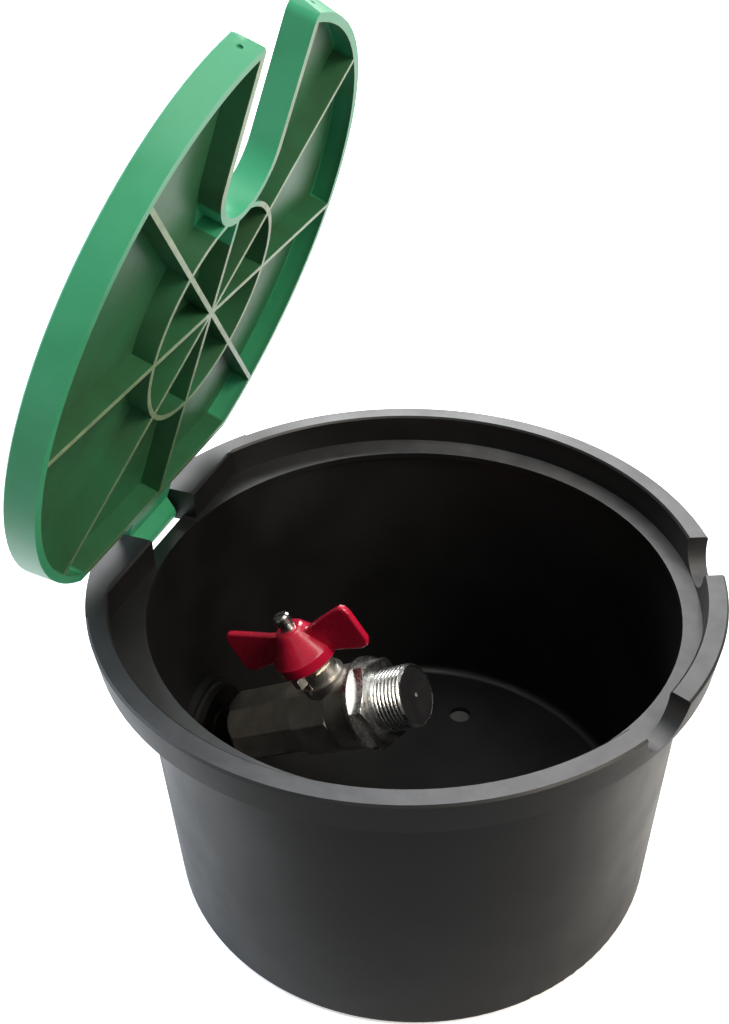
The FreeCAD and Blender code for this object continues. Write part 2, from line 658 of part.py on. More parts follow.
def lid():
    bevel_ring = turned("LidBevel", (
        ("lid_radius - lid_bevel", "0"),
        ("lid_radius + 1", "0"),
        ("lid_radius + 1", "-lid_bevel"),
        ("lid_radius", "-lid_bevel"),
    ))
    outside = cut(
        lid_disc("0", "-lid_depth", "0"), behind_chord("0"),
        slot_shape("0", "-lid_depth - 1", "lid_depth + 2"), bevel_ring, *slot_corners(), *dimples(),
    )
    hollow = cut(
        lid_disc("lid_wall", "-lid_depth", "-lid_plate"), behind_chord("lid_wall"),
        slot_shape("lid_wall", "-lid_depth - 1", "lid_depth + 2"),
    )
    spokes = []
    for at in range(int(VALUE["rib_count"] / 2)):
        spoke = doc.addObject("Part::Box", "Spoke")
        bind(spoke, Length="2 * lid_radius", Width="rib_thickness", Height="lid_depth - lid_plate / 2")
        spoke.setExpression("Placement", tied(
            f"placement(vector(0; 0; -lid_depth); rotation(vector(0; 0; 1); {at} * 360 / rib_count))"
            " * placement(vector(-lid_radius; -rib_thickness / 2; 0); rotation(vector(0; 0; 1); 0))"
        ))
        spokes.append(spoke)
    ring = cut(
        cylinder("ring_radius + rib_thickness / 2", "lid_depth - lid_plate / 2", z="-lid_depth"),
        cylinder("ring_radius - rib_thickness / 2", "lid_depth + 2", z="-lid_depth - 1"),
    )
    ribs = shared(fused(ring, *spokes), cut(
        lid_disc("lid_wall / 2", "-lid_depth", "-lid_plate / 2"), behind_chord("lid_wall / 2"),
        slot_shape("lid_wall / 2", "-lid_depth - 1", "lid_depth + 2"),
    ))
    barrel = cylinder(
        "knuckle_radius", "knuckle_width", turn=ALONG_Y,
        x="-hinge_reach", y="-knuckle_width / 2", z="-hinge_drop",
    )
    bore = cylinder(
        "pin_radius + pin_clearance", "knuckle_width + 2", turn=ALONG_Y,
        x="-hinge_reach", y="-knuckle_width / 2 - 1", z="-hinge_drop",
    )
    solid = fused(cut(outside, hollow), ribs, barrel, knuckle_strap())
    return named(cut(solid, bore), "lid", LID_PLACE)


def knuckle_strap():
    """The strap from the lid's straight side to the barrel, tangent to it."""
    body = new_body("KnuckleStrap")
    under = "-ledge_depth + strap_rise"
    sketch = outline(body, (
        ("-lid_chord + lid_wall / 2", "-lid_bevel"),
        ("-lid_chord - strap_step", "-lid_bevel"),
        ("-hinge_reach - knuckle_radius * sin(strap_lean)", "-hinge_drop + knuckle_radius * cos(strap_lean)"),
        ("-hinge_reach", "-hinge_drop"),
        ("-hinge_reach + knuckle_radius * cos(strap_turn)", "-hinge_drop - knuckle_radius * sin(strap_turn)"),
        ("-strip_edge", under),
        ("-lid_chord + lid_wall / 2", under),
    ))
    pad = body.newObject("PartDesign::Pad", "Strap")
    pad.Profile = sketch
    pad.Midplane = True
    bind(pad, Length="knuckle_width")
    doc.recompute()
    return body


def hinge_pin():
    return named(cylinder("pin_radius", "pin_length", turn=ALONG_Y, x="-collar_shift - hinge_reach",
                          y="-pin_length / 2", z="box_height - hinge_drop"), "hinge_pin")


# The valve, each piece in the valve's own frame


def outlet_end():
    """Spigot, flange, hexagon and thread, with the way for the water."""
    thread_start = "outlet_reach - thread_length"
    hex_start = f"{thread_start} - outlet_hex_height"
    flange_start = f"{hex_start} - flange_height"
    core = turned("OutletCore", (
        ("seat_front", "waterway_radius"),
        ("seat_front", "spigot_radius"),
        (flange_start, "spigot_radius"),
        (flange_start, "flange_radius"),
        (hex_start, "flange_radius"),
        (hex_start, "spigot_radius"),
        (thread_start, "spigot_radius"),
        (thread_start, "thread_radius - thread_relief"),
        (f"{thread_start} + relief_length", "thread_radius - thread_relief"),
        (f"{thread_start} + relief_length + thread_relief", "thread_radius"),
        ("outlet_reach - thread_bevel", "thread_radius"),
        ("outlet_reach", "thread_radius - thread_bevel"),
        ("outlet_reach", "waterway_radius"),
    ), axis="H_Axis")
    nut = prism(6, "outlet_flats", "outlet_hex_height", ALONG_X, x=hex_start)
    nut_bevel = turned("NutBevel", (
        (f"{hex_start} - 1", "0"),
        (f"{hex_start} - 1", "flange_radius"),
        (f"{thread_start} - outlet_hex_bevel", "flange_radius"),
        (thread_start, "outlet_flats / 2"),
        (thread_start, "0"),
    ), axis="H_Axis")
    recess = cylinder(
        "mouth_recess_radius", "mouth_recess_depth + 1", turn=ALONG_X, x="outlet_reach - mouth_recess_depth"
    )
    pocket = cylinder(
        "seat_radius + fit_clearance", "seat_back - seat_front + 1", turn=ALONG_X, x="seat_front - 1"
    )
    bore = cylinder("waterway_radius", "outlet_reach", turn=ALONG_X, x="seat_front - 1")
    groove = cut(
        cylinder("spigot_radius + 1", "joint_groove", turn=ALONG_X, x="joint_start"),
        cylinder("spigot_radius - 2 * joint_wire", "joint_groove + 2", turn=ALONG_X, x="joint_start - 1"),
    )
    solid = fused(core, shared(nut, nut_bevel))
    return named(cut(solid, recess, pocket, bore, groove), "outlet_end", VALVE_PLACE)


def joint_ring():
    on_axis = "placement(vector(joint_start + joint_groove / 2; 0; 0); rotation(vector(0; 1; 0); 90))"
    return named(ring_shape("spigot_radius - joint_wire", "joint_wire"), "body_joint_ring",
                 f"{VALVE_PLACE} * {on_axis}")


def seat_ring(label, start):
    """A ring whose near face is hollowed to the ball."""
    ring = cut(
        cylinder("seat_radius", "seat_back - seat_front", turn=ALONG_X, x=start),
        cylinder("waterway_radius", "seat_back", turn=ALONG_X, x=f"{start} - 2"),
        ball_shape("ball_radius + ball_clearance"),
    )
    return named(ring, label, VALVE_PLACE)


def ball():
    """Ball with its waterway and the slot for the stem's tang."""
    bore = cylinder("waterway_radius", "2 * ball_radius + 2", turn=ALONG_X, x="-ball_radius - 1")
    slot = block("tang_width + 2 * fit_clearance", "2 * ball_radius", "ball_radius",
                 "-tang_width / 2 - fit_clearance", "-ball_radius", "tang_bottom - fit_clearance")
    return named(cut(ball_shape("ball_radius"), bore, slot), "ball", VALVE_PLACE)


def eight_sided(flats, start, length):
    turn = FreeCAD.Rotation(ALONG_X.multiply(FreeCAD.Rotation(UP, 22.5)))
    return prism(8, flats, length, turn, x=start)


def valve_body():
    """The casting: eight-sided inlet end and middle, round shoulder, neck and stop lug."""
    flange_start = "outlet_reach - thread_length - outlet_hex_height - flange_height"
    middle_start = "shoulder_start - middle_length"
    end_core = turned("EndCore", (
        ("-inlet_reach", "0"),
        ("-inlet_reach", "body_end_flats / 2 - body_groove"),
        ("-inlet_reach + end_bevel", "body_end_flats / 2 + 2 * body_groove"),
        (f"{middle_start} - body_groove", "body_end_flats / 2 + 2 * body_groove"),
        (middle_start, "body_end_flats / 2 - body_groove"),
        (f"{middle_start} + 2", "0"),
    ), axis="H_Axis")
    end_length = f"inlet_reach + ({middle_start}) + 1"
    end = shared(eight_sided("body_end_flats", "-inlet_reach", end_length), end_core)
    middle_core = turned("MiddleCore", (
        (middle_start, "0"),
        (middle_start, "body_middle_flats / 2 - corner_bevel"),
        (f"{middle_start} + corner_bevel", "body_middle_flats / 2 + 2 * body_groove"),
        ("shoulder_start - body_groove", "body_middle_flats / 2 + 2 * body_groove"),
        ("shoulder_start", "body_middle_flats / 2 - body_groove"),
        ("shoulder_start", "0"),
    ), axis="H_Axis")
    middle = shared(eight_sided("body_middle_flats", middle_start, "middle_length"), middle_core)
    lip_start = f"{flange_start} - body_lip"
    shoulder = turned("Shoulder", (
        ("shoulder_start", "0"),
        ("shoulder_start", "body_round_radius - body_groove"),
        ("shoulder_start + body_groove", "body_round_radius"),
        (f"{lip_start} - body_groove", "body_round_radius"),
        (f"{lip_start} - body_groove", "body_round_radius - body_groove"),
        (lip_start, "body_round_radius - body_groove"),
        (lip_start, "body_round_radius + body_lip_rise"),
        (flange_start, "body_round_radius + body_lip_rise"),
        (flange_start, "0"),
    ), axis="H_Axis")
    foot = cylinder("neck_boss_radius", "neck_foot_top")
    neck = cylinder("neck_outer_radius", "neck_top")
    lug = block("stop_reach", "stop_width", "stop_width", "0", "0", "0")
    lug.setExpression("Placement", tied(
        "placement(vector(0; 0; stop_height - stop_width / 2); rotation(vector(0; 0; 1); -stop_turn))"
        " * placement(vector(0; -stop_width / 2; 0); rotation(vector(0; 0; 1); 0))"
    ))
    hollow = turned("Hollow", (
        ("-inlet_reach - 1", "0"),
        ("-inlet_reach - 1", "socket_radius"),
        ("-inlet_reach + socket_depth", "socket_radius"),
        ("-inlet_reach + socket_depth + socket_cone", "waterway_radius"),
        ("-seat_back", "waterway_radius"),
        ("-seat_back", "seat_radius + fit_clearance"),
        ("-seat_front - seat_lip", "seat_radius + fit_clearance"),
        ("-seat_front - seat_lip", "cavity_radius"),
        ("seat_front - spigot_gap", "cavity_radius"),
        ("seat_front - spigot_gap", "spigot_radius + fit_clearance"),
        (f"{flange_start} + spigot_space", "spigot_radius + fit_clearance"),
        (f"{flange_start} + spigot_space", "0"),
    ), axis="H_Axis")
    washer_top = "stem_flange_bottom + stem_flange_height + stem_washer_height"
    stem_way = turned("StemWay", (
        ("0", "0"),
        ("stem_flange_radius + fit_clearance", "0"),
        ("stem_flange_radius + fit_clearance", washer_top),
        ("stem_radius + fit_clearance", washer_top),
        ("stem_radius + fit_clearance", "packing_bottom"),
        ("packing_radius", "packing_bottom"),
        ("packing_radius", "neck_top + 1"),
        ("0", "neck_top + 1"),
    ))
    solid = fused(end, middle, shoulder, foot, neck, lug)
    return named(cut(solid, hollow, stem_way), "valve_body", VALVE_PLACE)


def stem():
    """Tang, flange, shaft with two ring grooves, square and the screw's hole."""
    flange_top = "stem_flange_bottom + stem_flange_height"
    grooved = [("0", "stem_flange_bottom"), ("stem_flange_radius", "stem_flange_bottom"),
               ("stem_flange_radius", flange_top), ("stem_radius", flange_top)]
    for at in (0, 1):
        middle = f"ring_place + {at} * ring_pitch"
        for station, radius in ((-1, "stem_radius"), (-1, "stem_radius - 2 * ring_wire"),
                                (1, "stem_radius - 2 * ring_wire"), (1, "stem_radius")):
            grooved.append((radius, f"{middle} + {station} * ring_groove / 2"))
    grooved += [("stem_radius", "square_start"), ("0", "square_start")]
    shaft = turned("StemShaft", grooved)
    square = block(
        "stem_square", "stem_square", "hub_top - square_start",
        "-stem_square / 2", "-stem_square / 2", "square_start",
    )
    bar = block(
        "tang_width", "tang_length", "stem_flange_bottom - tang_bottom",
        "-tang_width / 2", "-tang_length / 2", "tang_bottom",
    )
    tang = shared(bar, ball_shape("cavity_radius - ball_clearance"))
    hole = cylinder("screw_radius", "screw_length + 1", z="hub_top - screw_length")
    return named(cut(fused(shaft, square, tang), hole), "stem", VALVE_PLACE)


def stem_washer():
    return named(cut(
        cylinder("stem_flange_radius", "stem_washer_height", z="stem_flange_bottom + stem_flange_height"),
        cylinder("stem_radius + fit_clearance", "3 * stem_washer_height", z="stem_flange_bottom"),
    ), "stem_thrust_washer", VALVE_PLACE)


def stem_rings():
    return named(fused(
        ring_shape("stem_radius - ring_wire", "ring_wire", z="ring_place"),
        ring_shape("stem_radius - ring_wire", "ring_wire", z="ring_place + ring_pitch"),
    ), "stem_rings", VALVE_PLACE)


def gland_packing():
    return named(cut(
        cylinder("packing_radius - fit_clearance", "packing_height", z="packing_bottom"),
        cylinder("stem_radius + fit_clearance", "packing_height + 2", z="packing_bottom - 1"),
    ), "gland_packing", VALVE_PLACE)


def gland_nut():
    """Threaded shank down to the packing, hexagon on the neck."""
    shank_start = "packing_bottom + packing_height"
    shank = cylinder("packing_radius - fit_clearance", f"neck_top - ({shank_start})", z=shank_start)
    head = prism(6, "gland_flats", "gland_top - neck_top", None, z="neck_top")
    bore = cylinder("stem_radius + fit_clearance", "gland_top", z=f"{shank_start} - 1")
    return named(cut(fused(shank, head), bore), "gland_nut", VALVE_PLACE)


def handle():
    """Butterfly handle: a hub like a bell and two wings, one turned from the other."""
    body = new_body("Handle")
    hub = body.newObject("PartDesign::Revolution", "Hub")
    hub_outline = outline(body, (
        ("0", "hub_bottom"),
        ("hub_radius", "hub_bottom"),
        ("hub_radius", "hub_bottom + hub_band"),
        ("hub_radius - 0.6", "hub_bottom + hub_band + 0.7"),
        ("hub_top_radius + 2.2", "hub_top - 7"),
        ("hub_top_radius", "hub_top - 1"),
        ("hub_top_radius - 1", "hub_top"),
        ("0", "hub_top"),
    ))
    hub.Profile = hub_outline
    hub.ReferenceAxis = (hub_outline, ["V_Axis"])
    hub.Angle = 360
    doc.recompute()
    wing_outline = outline(body, (
        ("2", "wing_bottom"),
        ("wing_reach - 4.6", "wing_bottom"),
        ("wing_reach - 1.6", "wing_bottom + 1"),
        ("wing_reach", "wing_bottom + 4"),
        ("wing_reach - 0.4", "wing_top - 3.6"),
        ("wing_reach - 1.4", "wing_top - 1"),
        ("wing_reach - 3.4", "wing_top"),
        ("wing_reach - 6", "wing_top - 0.6"),
        ("hub_radius + 4", "hub_top + 0.8"),
        ("hub_top_radius + 1.6", "hub_top - 2.4"),
        ("2", "hub_top - 3.4"),
    ))
    wing = body.newObject("PartDesign::Pad", "Wing")
    wing.Profile = wing_outline
    wing.Midplane = True
    bind(wing, Length="wing_thickness")
    doc.recompute()
    pair = body.newObject("PartDesign::PolarPattern", "Pair")
    pair.Originals = [wing]
    pair.Axis = (origin_part(body, "Z_Axis"), [""])
    pair.Angle = 360
    pair.Occurrences = 2
    body.Tip = pair
    doc.recompute()
    half = VALUE["wing_thickness"] / 2
    clear = VALUE["hub_radius"] + 1

    def on_wing_rim(edge):
        box = edge.BoundBox
        flat = box.YLength < 0.01 and abs(abs(box.YMax) - half) < 0.01
        return flat and (box.XMax > clear or box.XMin < -clear)

    body.Tip = rounded(body, pair, "wing_round", on_wing_rim)
    doc.recompute()
    square_way = block("stem_square + 2 * fit_clearance", "stem_square + 2 * fit_clearance", "2 * hub_top",
                       "-stem_square / 2 - fit_clearance", "-stem_square / 2 - fit_clearance", "0")
    under = cylinder("hub_hollow_radius", "hub_hollow_depth + 1", z="hub_bottom - 1")
    return named(cut(body, square_way, under), "handle", VALVE_PLACE)


def handle_washer():
    return named(cut(
        cone("washer_radius", "washer_radius - 0.5", "washer_height", z="hub_top"),
        cylinder("screw_radius + fit_clearance", "washer_height + 2", z="hub_top - 1"),
    ), "handle_washer", VALVE_PLACE)


def handle_screw():
    head_start = "hub_top + washer_height"
    head_top = f"{head_start} + screw_head_height"
    end = "hub_top - screw_length + screw_gap"
    head = turned("ScrewHead", (
        ("0", end),
        ("screw_radius - fit_clearance", end),
        ("screw_radius - fit_clearance", head_start),
        ("screw_head_radius", head_start),
        ("screw_head_radius", f"{head_top} - screw_head_bevel"),
        ("screw_head_radius - screw_head_bevel", head_top),
        ("0", head_top),
    ))
    slot = block(
        "4 * screw_head_radius", "screw_slot", "screw_head_height",
        "-2 * screw_head_radius", "-screw_slot / 2", f"{head_top} - screw_slot_depth",
    )
    return named(cut(head, slot), "handle_screw", VALVE_PLACE)


def outlet_plug():
    """Push-in plug: a flat head flush in the mouth, and a hollow stub."""
    body = turned("Plug", (
        ("outlet_reach - plug_length", "waterway_radius - plug_wall"),
        ("outlet_reach - plug_length", "waterway_radius - plug_wall / 2"),
        ("outlet_reach - plug_length + plug_lead", "waterway_radius - plug_clearance"),
        ("outlet_reach - mouth_recess_depth", "waterway_radius - plug_clearance"),
        ("outlet_reach - mouth_recess_depth", "mouth_recess_radius - plug_clearance"),
        ("outlet_reach - plug_sink - plug_bevel", "mouth_recess_radius - plug_clearance"),
        ("outlet_reach - plug_sink", "mouth_recess_radius - plug_clearance - plug_bevel"),
        ("outlet_reach - plug_sink", "0"),
        ("outlet_reach - plug_plate", "0"),
        ("outlet_reach - plug_plate", "waterway_radius - plug_wall"),
    ), axis="H_Axis")
    return named(body, "outlet_plug", VALVE_PLACE)


# The inlet: an angled adaptor from the valve's socket through the box's wall


def leaning(radius, station, length):
    """A cylinder along the valve's axis, from a station behind the ball towards it."""
    thing = doc.addObject("Part::Cylinder", "Leaning")
    bind(thing, Radius=radius, Height=length)
    back = f"ball_x - ({station}) * cos(outlet_tilt)"
    down = f"ball_z - ({station}) * sin(outlet_tilt)"
    thing.setExpression("Placement", tied(
        f"placement(vector({back}; 0; {down}); rotation(vector(0; 1; 0); 90 - outlet_tilt))"
    ))
    return thing


def inlet_adaptor():
    """Thread in the valve, pipe, bend, flange inside the wall and tail through it."""
    thread_end = "inlet_reach - socket_depth + 1"
    thread = leaning("socket_radius - fit_clearance", "inlet_reach", f"inlet_reach - ({thread_end})")
    pipe = leaning("nipple_radius", "ball_reach", f"ball_reach - ({thread_end})")
    shoulder = leaning("collar_radius", "inlet_reach + collar_length", "collar_length")
    elbow = ball_shape("nipple_radius", x="bend_x", z="inlet_height")
    run = cylinder("nipple_radius", "flange_face + bend_x", turn=ALONG_X, x="-flange_face", z="inlet_height")
    flange = cylinder(
        "inner_flange_radius", "inner_flange_height", turn=ALONG_X, x="-flange_face", z="inlet_height"
    )
    tail = cylinder("tail_radius", "tail_end - flange_face", turn=ALONG_X, x="-tail_end", z="inlet_height")
    water_in = leaning("way_radius", "ball_reach", f"ball_reach - ({thread_end}) + 2")
    water_bend = ball_shape("way_radius", x="bend_x", z="inlet_height")
    water_out = cylinder(
        "way_radius", "tail_end + bend_x + 1", turn=ALONG_X, x="-tail_end - 1", z="inlet_height"
    )
    socket = cylinder(
        "tail_socket_radius", "tail_socket_depth + 1", turn=ALONG_X, x="-tail_end - 1", z="inlet_height"
    )
    solid = fused(thread, pipe, shoulder, elbow, run, flange, tail)
    return named(cut(solid, water_in, water_bend, water_out, socket), "inlet_adaptor")


def wall_ring(label, radius, start, height):
    """A flat ring round the tail, against the wall."""
    hole = "tail_radius + fit_clearance"
    return named(cut(
        cylinder(radius, height, turn=ALONG_X, x=start, z="inlet_height"),
        cylinder(hole, f"{height} + 2", turn=ALONG_X, x=f"{start} - 1", z="inlet_height"),
    ), label)


def wall_locknut():
    """Six-sided nut with its corners up and down, bevelled outside."""
    start = "-boss_outer_face - outer_washer_height - locknut_height"
    nut = prism(6, "locknut_flats", "locknut_height", ALONG_X, x=start, z="inlet_height")
    bevel = cone("locknut_flats / 2", "locknut_flats / 2 + locknut_height", "locknut_height", turn=ALONG_X,
                 x=start, z="inlet_height")
    hole = cylinder("tail_radius + fit_clearance", "locknut_height + 2", turn=ALONG_X, x=f"{start} - 1",
                    z="inlet_height")
    return named(cut(shared(nut, bevel), hole), "wall_locknut")


PARTS = (
    box_tub(),
    lid(),
    hinge_pin(),
    valve_body(),
    outlet_end(),
    joint_ring(),
    ball(),
    seat_ring("inlet_seat_ring", "-seat_back"),
    seat_ring("outlet_seat_ring", "seat_front"),
    stem(),
    stem_washer(),
    stem_rings(),
    gland_packing(),
    gland_nut(),
    handle(),
    handle_washer(),
    handle_screw(),
    outlet_plug(),
    inlet_adaptor(),
    wall_ring("inner_gasket", "gasket_radius", "-boss_inner_face", "gasket_height"),
    wall_ring(
        "outer_washer", "outer_washer_radius", "-boss_outer_face - outer_washer_height", "outer_washer_height"
    ),
    wall_locknut(),
)

doc.recompute()
for thing in doc.Objects:
    for word in ("Invalid", "Error"):
        if word in thing.State:
            raise SystemExit(f"{thing.Name} {thing.Label} failed: {thing.State}")
for part in PARTS:
    shape = part.Shape
    if shape.isNull() or not shape.isValid() or not shape.Solids:
        raise SystemExit(f"{part.Label} has no valid solid")

os.makedirs("parts", exist_ok=True)
for part in PARTS:
    part.Shape.exportStep(f"parts/{part.Label}.step")
    box = part.Shape.BoundBox
    print(f"{part.Label:20s} solids {len(part.Shape.Solids)} volume {part.Shape.Volume:10.1f} "
          f"size {box.XLength:7.1f} {box.YLength:7.1f} {box.ZLength:7.1f}")
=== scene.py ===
import math

import bmesh
import bpy
from mathutils import Matrix, Vector


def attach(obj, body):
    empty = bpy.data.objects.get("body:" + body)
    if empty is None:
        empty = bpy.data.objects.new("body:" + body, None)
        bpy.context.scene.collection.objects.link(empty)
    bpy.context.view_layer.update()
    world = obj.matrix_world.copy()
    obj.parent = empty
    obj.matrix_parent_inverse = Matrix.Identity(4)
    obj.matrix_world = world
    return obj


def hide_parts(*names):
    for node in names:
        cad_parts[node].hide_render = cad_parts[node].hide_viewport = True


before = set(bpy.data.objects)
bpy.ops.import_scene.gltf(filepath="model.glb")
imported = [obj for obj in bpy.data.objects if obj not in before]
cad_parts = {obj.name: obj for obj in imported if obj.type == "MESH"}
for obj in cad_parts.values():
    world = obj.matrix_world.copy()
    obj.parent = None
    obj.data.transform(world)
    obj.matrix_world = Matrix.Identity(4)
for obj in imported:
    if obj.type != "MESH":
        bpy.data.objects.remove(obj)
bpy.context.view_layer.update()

MM = 0.001

# Where the valve lies, as in the source: the middle of its ball, with +X along its outlet and +Z along its stem
BALL = Vector((-30.03, 0, 58.41)) * MM
TILT = math.radians(29)
ROLL = math.radians(4.5)
VALVE = Matrix.Translation(BALL) @ Matrix.Rotation(-TILT, 4, "Y") @ Matrix.Rotation(ROLL, 4, "X")

# Where the open lid lies: the middle of its top face, from the hinge line
HINGE = Vector((-115.7, 0, 129.5)) * MM
HINGE_TO_LID = Vector((112.6, 0, 10.5)) * MM
LID_TURN = math.radians(69.5)
LID = Matrix.Translation(HINGE) @ Matrix.Rotation(-LID_TURN, 4, "Y") @ Matrix.Translation(HINGE_TO_LID)

# The lid's underside: its depth, its straight hinge side, the inside of its skirt, and its hose slot
LID_DEPTH = 10.9 * MM
LID_STRAIGHT_SIDE = -96 * MM
SKIRT_INSIDE = 105.5 * MM
SLOT_END = 48 * MM
SLOT_RIB = 18.6 * MM

# The outlet's thread: three-quarter inch pipe thread, in the valve's frame
THREAD_RADIUS = 13.22 * MM
THREAD_PITCH = 1.814 * MM
THREAD_DEPTH = 1.2 * MM
THREAD_START = 21.9 * MM
THREAD_VEE = 0.98 * MM
THREAD_STEPS = 48
OUTLET_REACH = 36.5 * MM

# The plug's gate mark, and how far its middle lies under the plug's face
GATE_RADIUS = 0.9 * MM
GATE_SUNK = 0.12 * MM

# The valve's stop lug, as blocks beside the neck, in millimetres from the stem's axis and from the ball: the parts
# of the solid's lug that go, over the neck's lower and upper width, and the lug of the photo
LUG_SIDE = math.radians(-112)
LUG_CUT_LOW = {"near": 10.02, "far": 16, "half_width": 2.6, "low": 16.8, "high": 23.2}
LUG_CUT_HIGH = {"near": 8.1, "far": 10.4, "half_width": 2.6, "low": 19.53, "high": 23.2}
LUG = {"near": 8.12, "far": 12, "half_width": 2.3, "low": 22.9, "high": 27.5}

# The bell of the handle from its foot up, in millimetres from the ball: height, the solid's radius, and how much
# wider and higher the photo's is
BELL = (
    (27, 12.5, 1.1, 2.4),
    (32.1, 12.5, 1.1, 2.4),
    (32.8, 11.9, 1.1, 2.4),
    (39.5, 8, 1.2, 0.8),
    (45.5, 5.8, 1.12, 0),
    (46.6, 4.7, 1.12, 0),
)
BELL_SKIN = 0.3
BELL_HOLLOW = 10
FOOT_TOP = 28
WING_HALF = 1.7 * MM

# The camera, read from the photograph's circles. Angles in degrees
EYE = Vector((130.6, -368.6, 439.7)) * MM
HEADING, PITCH, CANT = 22.1, 34.92, -1.31
LENS = 45.59

# The creases that stay sharp, and the ring, in metres from the middle, within which the paper under the box gets a
# painted shadow that shows only through its drain holes
CREASE = math.radians(35)
PAINTED_SHADOW_UNDER_BOX = (0.09, 0.1)


# Materials


def linear(code):
    """An sRGB hex value as linear colour."""
    levels = [int(code[at:at + 2], 16) / 255 for at in (1, 3, 5)]
    return [v / 12.92 if v <= 0.04045 else ((v + 0.055) / 1.055) ** 2.4 for v in levels] + [1]


def add(tree, kind, inputs=(), **settings):
    """Adds a node. Each input gets a value, or a link from another node's output."""
    made = tree.nodes.new(kind)
    for name, value in settings.items():
        setattr(made, name, value)
    for name, value in dict(inputs).items():
        if isinstance(value, bpy.types.NodeSocket):
            tree.links.new(value, made.inputs[name])
        else:
            made.inputs[name].default_value = value
    return made


def ramp(tree, factor, stops):
    """Colours along a value, each stop a place and a hex value."""
    made = add(tree, "ShaderNodeValToRGB", {"Fac": factor})
    band = made.color_ramp.elements
    while len(band) < len(stops):
        band.new(0.5)
    for element, (place, code) in zip(band, stops):
        element.position = place
        element.color = linear(code)
    return made.outputs["Color"]


def spread(tree, factor, low, high, start=0.3, end=0.7):
    """A value between start and end moved to low and high. The defaults are the middle of a noise's range."""
    return add(tree, "ShaderNodeMapRange", {
        "Value": factor, "From Min": start, "From Max": end, "To Min": low, "To Max": high,
    }).outputs["Result"]


def noise(tree, place, size, detail=3):
    """A noise whose patches are this many millimetres across."""
    return add(tree, "ShaderNodeTexNoise", {
        "Vector": place, "Scale": 1 / (size * MM), "Detail": detail, "Roughness": 0.55,
    }).outputs["Fac"]


def surface(name, stops, rough, metallic=0, patch=25, grain=0.8, relief=0.02, **shader):
    """A finish with patches of tone, a grain, and its own gloss. Sizes are in millimetres."""
    made = bpy.data.materials.new(name)
    made.use_nodes = True
    tree = made.node_tree
    skin = tree.nodes["Principled BSDF"]
    place = add(tree, "ShaderNodeTexCoord").outputs["Object"]
    patches = noise(tree, place, patch, 5)
    bump = add(tree, "ShaderNodeBump", {
        "Height": noise(tree, place, grain), "Distance": relief * MM, "Strength": 1,
    })
    for socket, value in {
        "Base Color": ramp(tree, patches, stops),
        "Roughness": spread(tree, patches, *rough),
        "Normal": bump.outputs["Normal"],
    }.items():
        tree.links.new(value, skin.inputs[socket])
    skin.inputs["Metallic"].default_value = metallic
    for socket, value in shader.items():
        skin.inputs[socket.replace("_", " ")].default_value = value
    return made


def masked(finish, code, amount):
    """The finish with another colour laid over it by a mask."""
    tree = finish.node_tree
    colour = tree.nodes["Principled BSDF"].inputs["Base Color"]
    tree.links.new(mixed(tree, amount, colour.links[0].from_socket, linear(code)), colour)
    return finish


def product(tree, *factors):
    """The product of masks."""
    made = factors[0]
    for factor in factors[1:]:
        made = add(tree, "ShaderNodeMath", {0: made, 1: factor}, operation="MULTIPLY").outputs[0]
    return made


def vector_step(tree, operation, *vectors):
    """What one step of vector arithmetic gives: a vector."""
    return add(tree, "ShaderNodeVectorMath", dict(enumerate(vectors)), operation=operation).outputs["Vector"]


def length(tree, vector):
    """How long a vector is."""
    return add(tree, "ShaderNodeVectorMath", {0: vector}, operation="LENGTH").outputs["Value"]


def mixed(tree, factor, low, high):
    """The low colour where the factor is 0 and the high one where it is 1."""
    # The Mix node's colour inputs are 6 and 7, and its colour output is 2
    made = add(tree, "ShaderNodeMix", {"Factor": factor, 6: low, 7: high}, data_type="RGBA")
    return made.outputs[2]


def shaded_underside(finish, underside_shade, rib_edge_highlight):
    """The lid's recessed underside darkened and browned by painted shade, with a painted highlight along the free
    edges of its ribs.
    """
    tree = finish.node_tree
    place = add(tree, "ShaderNodeTexCoord").outputs["Object"]
    in_lid = add(tree, "ShaderNodeMapping", {
        "Vector": place, "Location": LID.translation, "Rotation": (0, -LID_TURN, 0),
    }, vector_type="TEXTURE").outputs["Vector"]
    along, _, height = add(tree, "ShaderNodeSeparateXYZ", {"Vector": in_lid}).outputs
    across = vector_step(tree, "MULTIPLY", in_lid, (1, 1, 0))
    out = length(tree, across)
    # How far off the slot: from its round end on the hinge's side, and from its middle line past that
    from_slot = vector_step(tree, "SUBTRACT", across, (SLOT_END, 0, 0))
    off_slot = length(tree, vector_step(tree, "MINIMUM", from_slot, (0, 1, 1)))
    inside = product(
        tree,
        spread(tree, along, 0, 1, LID_STRAIGHT_SIDE, LID_STRAIGHT_SIDE + 1 * MM),
        spread(tree, out, 1, 0, SKIRT_INSIDE, SKIRT_INSIDE + 1 * MM),
        spread(tree, off_slot, 0, 1, SLOT_RIB, SLOT_RIB + 0.6 * MM),
        spread(tree, height, 1, 0, -1.6 * MM, -0.8 * MM),
    )
    # Painted shade, browner, over the recessed underside
    masked(finish, underside_shade, product(tree, inside, spread(tree, noise(tree, place, 30, 5), 0.7, 1)))
    at_edge = spread(tree, height, 1, 0, 0.05 * MM - LID_DEPTH, 0.3 * MM - LID_DEPTH)
    # The painted highlight on the rib edges fades towards the hinge
    return masked(finish, rib_edge_highlight, product(
        tree, inside, at_edge,
        spread(tree, along, 0.35, 1, -85 * MM, -15 * MM),
        spread(tree, noise(tree, place, 6), 0.4, 0.85),
    ))


